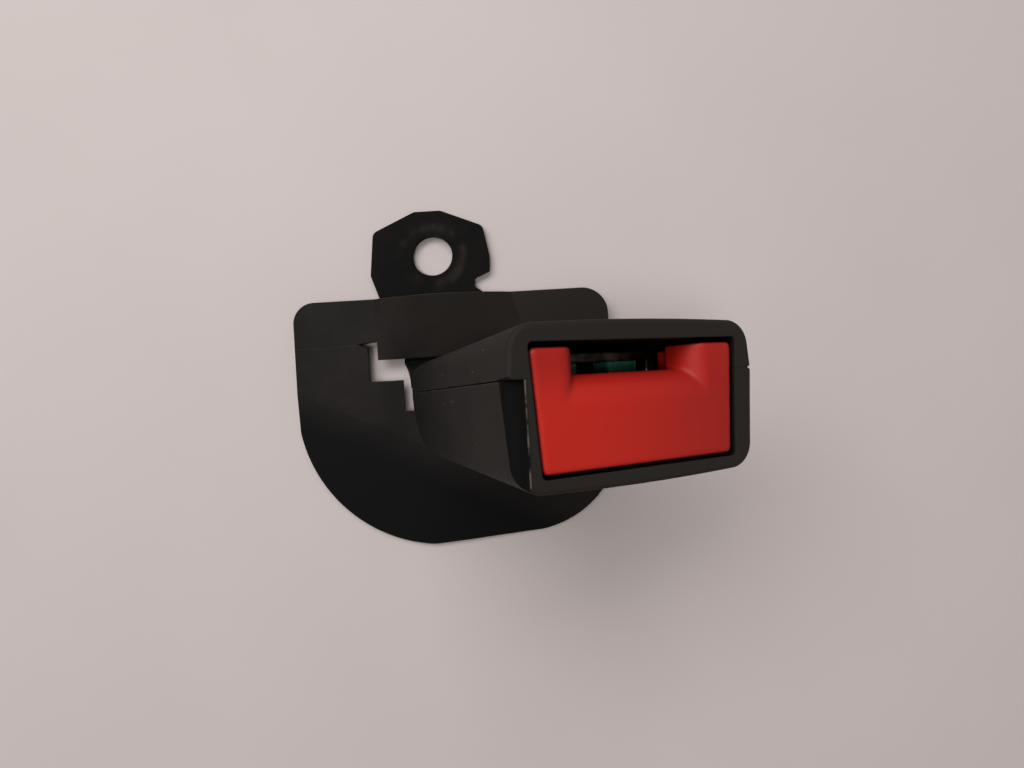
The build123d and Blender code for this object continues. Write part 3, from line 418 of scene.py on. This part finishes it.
def platedMetal(name, look):
    material, tree, shader = newMaterial(name, look["shader"])
    coords = addNode(tree, "ShaderNodeTexCoord").outputs["Object"]
    rounded, corner = edgeMask(tree, look["edge"])
    clouds = addNode(tree, "ShaderNodeTexNoise", None,
                     {"Vector": coords, "Scale": 1 / look["cloud"], "Detail": 5.0, "Roughness": 0.6})
    clouded = addNode(tree, "ShaderNodeMapRange", softStep,
                      {"Value": clouds, **between(metalWear["clouded"])})
    base = addNode(tree, "ShaderNodeMix", mixedColour,
                   {0: clouded, 6: linear(look["dull"]), 7: linear(look["colour"])})
    # painted glints: sheared and drawn edges are painted bright in places
    broken = addNode(tree, "ShaderNodeMapRange", softStep,
                     {"Value": clouds, **between(metalWear["rubbed"])})
    rubbed = addNode(tree, "ShaderNodeMath", product, {0: corner, 1: broken})
    base = addNode(tree, "ShaderNodeMix", mixedColour, {0: rubbed, 6: base, 7: linear(look["bright"])})
    gloss = addNode(tree, "ShaderNodeMapRange", None, {
        "Value": clouds, **between(metalWear["gloss"]),
        "To Min": look["shader"]["Roughness"] + metalWear["dulled"],
        "To Max": look["shader"]["Roughness"] + metalWear["polished"],
    })
    feed(tree, shader, {"Base Color": base, "Roughness": gloss, "Normal": rounded})
    return material


# compression springs: round wire with closed turns at each end; closing is how far the joint shuts each
springs = {
    "button_spring_left": {"turns": 8, "axis": "along", "joint": "button_press", "closing": 5.7 * mm},
    "button_spring_right": {"turns": 8, "axis": "along", "joint": "button_press", "closing": 5.7 * mm},
    "ejector_spring": {"turns": 10, "axis": "along", "joint": "ejector_slide", "closing": 13 * mm},
    "latch_spring": {"turns": 3.5, "axis": "across", "joint": "latch_swing", "closing": 2.7 * mm},
}
coil = {"wire": 0.7 * mm, "closedTurns": 0.75, "pointsPerTurn": 28, "sides": 10}
springAxes = {"along": Vector((math.sin(lean), 0, math.cos(lean))), "across": Vector((0, 1, 0))}


def springTree(material):
    # a coil along Z from 0 to Length, whose pitch closes up at both ends
    tree = bpy.data.node_groups.new("compression spring", "GeometryNodeTree")
    sizes = ("Radius", "Length", "Wire", "Turns", "Closed Turns")
    for name in sizes:
        tree.interface.new_socket(name, in_out="INPUT", socket_type="NodeSocketFloat")
    tree.interface.new_socket("Geometry", in_out="OUTPUT", socket_type="NodeSocketGeometry")
    given = addNode(tree, "NodeGroupInput").outputs
    known = {name: given[name] for name in sizes}
    known["along"] = addNode(tree, "GeometryNodeSplineParameter").outputs["Factor"]
    # each line works one value out from the sizes, the place along the wire or the lines above it
    sums = (
        ("points", "MULTIPLY", "Turns", coil["pointsPerTurn"]),
        ("turned", "MULTIPLY", "along", "Turns"),
        ("angle", "MULTIPLY", "turned", math.tau),
        ("closedShare", "DIVIDE", "Closed Turns", "Turns"),
        ("lastStart", "SUBTRACT", 1, "closedShare"),
        ("closedRise", "MULTIPLY", "Closed Turns", "Wire"),
        ("bothClosed", "MULTIPLY", "closedRise", 2),
        ("betweenEnds", "SUBTRACT", "Length", "Wire"),
        ("openRise", "SUBTRACT", "betweenEnds", "bothClosed"),
        ("wireRadius", "MULTIPLY", "Wire", 0.5),
        ("middle", "SUBTRACT", "Radius", "wireRadius"),
        ("cosine", "COSINE", "angle", 0),
        ("sine", "SINE", "angle", 0),
        ("x", "MULTIPLY", "middle", "cosine"),
        ("y", "MULTIPLY", "middle", "sine"),
    )
    for name, operation, first, second in sums:
        known[name] = addNode(tree, "ShaderNodeMath", {"operation": operation},
                              {0: known.get(first, first), 1: known.get(second, second)})
    height = known["wireRadius"]
    for start, stop, rise in ((0, "closedShare", "closedRise"), ("closedShare", "lastStart", "openRise"),
                              ("lastStart", 1, "closedRise")):
        part = addNode(tree, "ShaderNodeMapRange", None, {
            "Value": known["along"], "From Min": known.get(start, start),
            "From Max": known.get(stop, stop), "To Max": known[rise],
        })
        height = addNode(tree, "ShaderNodeMath", {"operation": "ADD"}, {0: height, 1: part})
    line = addNode(tree, "GeometryNodeCurvePrimitiveLine", None, {"End": (0, 0, 1)})
    fine = addNode(tree, "GeometryNodeResampleCurve", None, {"Curve": line, "Count": known["points"]})
    place = addNode(tree, "ShaderNodeCombineXYZ", None, {"X": known["x"], "Y": known["y"], "Z": height})
    helix = addNode(tree, "GeometryNodeSetPosition", None, {"Geometry": fine, "Position": place})
    wire = addNode(tree, "GeometryNodeCurvePrimitiveCircle", None,
                   {"Resolution": coil["sides"], "Radius": known["wireRadius"]})
    tube = addNode(tree, "GeometryNodeCurveToMesh", None,
                   {"Curve": helix, "Profile Curve": wire, "Fill Caps": True})
    real = addNode(tree, "GeometryNodeRealizeInstances", None, {"Geometry": tube})
    dressed = addNode(tree, "GeometryNodeSetMaterial", None, {"Geometry": real, "Material": material})
    addNode(tree, "NodeGroupOutput", None, {"Geometry": dressed})
    return tree


def winding(node, turn):
    # the lowest and highest corners of a spring's solid, seen along its own axis
    seen = [turn.inverted() @ v.co for v in nodes[node].data.vertices]
    return (Vector([pick(c[i] for c in seen) for i in range(3)]) for pick in (min, max))


springGroup = springTree(platedMetal("drawn spring wire", springWire))
inputs = {i.name: i.identifier for i in springGroup.interface.items_tree if i.in_out == "INPUT"}
for node, spring in springs.items():
    axis = springAxes[spring["axis"]]
    turn = axis.to_track_quat("Z", "Y").to_matrix()
    low, high = winding(node, turn)
    wound = bpy.data.objects.new(node + "_coil", bpy.data.meshes.new("coil"))
    bpy.context.scene.collection.objects.link(wound)
    wind = wound.modifiers.new("coil", "NODES")
    wind.node_group = springGroup
    sizes = {"Radius": (high.y - low.y) / 2, "Length": high.z - low.z, "Wire": coil["wire"],
             "Turns": spring["turns"], "Closed Turns": coil["closedTurns"]}
    for name, value in sizes.items():
        wind[inputs[name]] = float(value)
    plain = bpy.data.meshes.new_from_object(
        wound.evaluated_get(bpy.context.evaluated_depsgraph_get()))
    wound.modifiers.clear()
    seat = Vector(((low.x + high.x) / 2, (low.y + high.y) / 2, low.z))
    plain.transform(Matrix.Translation(turn @ seat) @ turn.to_4x4())
    plain.shade_smooth()
    wound.data = plain
    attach(wound, "root")
    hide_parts(node)
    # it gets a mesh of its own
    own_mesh(wound)
print("springs", len(springs))

# the button's moulded edges are softer than its solid's, so a finer copy of it is smoothed
softButton = {"voxel": 0.32 * mm, "passes": 14, "strength": 0.5, "weld": 0.001 * mm}
cap = bpy.data.objects.new("button_cap", nodes["release_button"].data.copy())
bpy.context.scene.collection.objects.link(cap)
fine = bmesh.new()
fine.from_mesh(cap.data)
bmesh.ops.remove_doubles(fine, verts=fine.verts, dist=softButton["weld"])
fine.to_mesh(cap.data)
fine.free()
remesh = cap.modifiers.new("voxels", "REMESH")
remesh.mode = "VOXEL"
remesh.voxel_size = softButton["voxel"]
remesh.use_smooth_shade = True
relax = cap.modifiers.new("relax", "SMOOTH")
relax.factor = softButton["strength"]
relax.iterations = softButton["passes"]
smooth = bpy.data.meshes.new_from_object(cap.evaluated_get(bpy.context.evaluated_depsgraph_get()))
cap.modifiers.clear()
cap.data = smooth
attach(cap, "button")
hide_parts("release_button")
pieces["button_cap"] = cap
print("button", len(smooth.polygons), "faces")

finishes = {
    "grained polyamide": (grainedPlastic, shellPlastic, ("upper_shell", "lower_shell")),
    "matte polypropylene": (grainedPlastic, shieldPlastic,
                            ("shield_upper", "shield_lower", "shield_pin_left", "shield_pin_right")),
    "satin ABS": (satinRed, buttonPlastic, ("button_cap",)),
    "green acetal": (waxyGreen, ejectorPlastic, ("ejector",)),
    "dip painted steel": (paintedSteel, dipPaint, ("anchor_bracket",)),
    "zinc plated steel": (platedMetal, zincPlate,
                          ("buckle_frame", "latch_plate", "latch_pivot_pin", "spring_bridge",
                           "bracket_rivet_left", "bracket_rivet_right")),
    "spring steel strip": (platedMetal, springWire, ("pivot_clip",)),
}
for finish, (make, look, names) in finishes.items():
    material = make(finish, look)
    for name in names:
        pieces[name].data.materials.clear()
        pieces[name].data.materials.append(material)
print("materials", len(finishes))

# a laminate tabletop, satin, with a faint haze of handling
tabletop = {"size": 6.0, "colour": "#cdc3c2", "shade": "#c6bcbb", "cloud": 60 * mm, "Roughness": 0.6}
half = tabletop["size"] / 2
mesh = bpy.data.meshes.new("tabletop")
mesh.from_pydata([(-half, -half, 0), (half, -half, 0), (half, half, 0), (-half, half, 0)], [],
                 [(0, 1, 2, 3)])
table = bpy.data.objects.new("tabletop", mesh)
bpy.context.scene.collection.objects.link(table)
laminate, tree, shader = newMaterial("pale laminate", tabletop)
coords = addNode(tree, "ShaderNodeTexCoord").outputs["Object"]
haze = addNode(tree, "ShaderNodeTexNoise", None,
               {"Vector": coords, "Scale": 1 / tabletop["cloud"], "Detail": 4.0})
base = addNode(tree, "ShaderNodeMix", mixedColour,
               {0: haze, 6: linear(tabletop["shade"]), 7: linear(tabletop["colour"])})
feed(tree, shader, {"Base Color": base})
mesh.materials.append(laminate)

# only the mirrored lamps show in glossy surfaces
lamps = {
    "window": {"place": (-0.26, 0.48, 0.9), "size": (1.1, 0.5), "watts": 8.4,
               "colour": "#fffcf9", "mirrored": True},
    "ceiling": {"place": (-0.18, -0.2, 1.2), "size": (0.25, 0.25), "watts": 3.4,
                "colour": "#fffcf9", "mirrored": False},
    "fill": {"place": (-0.95, 0.0, 0.55), "size": (0.6, 0.6), "watts": 0.3,
             "colour": "#f6f7ff", "mirrored": True},
}
for name, lamp in lamps.items():
    light = bpy.data.lights.new(name, "AREA")
    light.shape = "RECTANGLE"
    light.size, light.size_y = lamp["size"]
    light.energy = lamp["watts"]
    light.color = linear(lamp["colour"])[:3]
    holder = bpy.data.objects.new(name, light)
    holder.location = lamp["place"]
    holder.rotation_euler = (-Vector(lamp["place"])).to_track_quat("-Z", "Y").to_euler()
    holder.visible_glossy = lamp["mirrored"]
    bpy.context.scene.collection.objects.link(holder)

room = {"colour": "#ebe8e6", "strength": 0.24}
world = bpy.data.worlds.new("room")
bpy.context.scene.world = world
world.use_nodes = True
feed(world.node_tree, world.node_tree.nodes["Background"],
     {"Color": linear(room["colour"]), "Strength": room["strength"]})

# the camera looks straight down on the table
camera = {"lens": 22.85, "sensor": 36, "near": 10 * mm, "roll": -3.3,
          "place": (22.60 * mm, -41.56 * mm, 206.3 * mm)}
data = bpy.data.cameras.new("camera")
data.lens = camera["lens"]
data.sensor_width = camera["sensor"]
data.clip_start = camera["near"]
eye = bpy.data.objects.new("camera", data)
eye.location = camera["place"]
eye.rotation_euler = Euler((0, 0, math.radians(camera["roll"])))
bpy.context.scene.collection.objects.link(eye)
bpy.context.scene.camera = eye
bpy.context.scene.view_settings.view_transform = "Standard"
print("stage set")
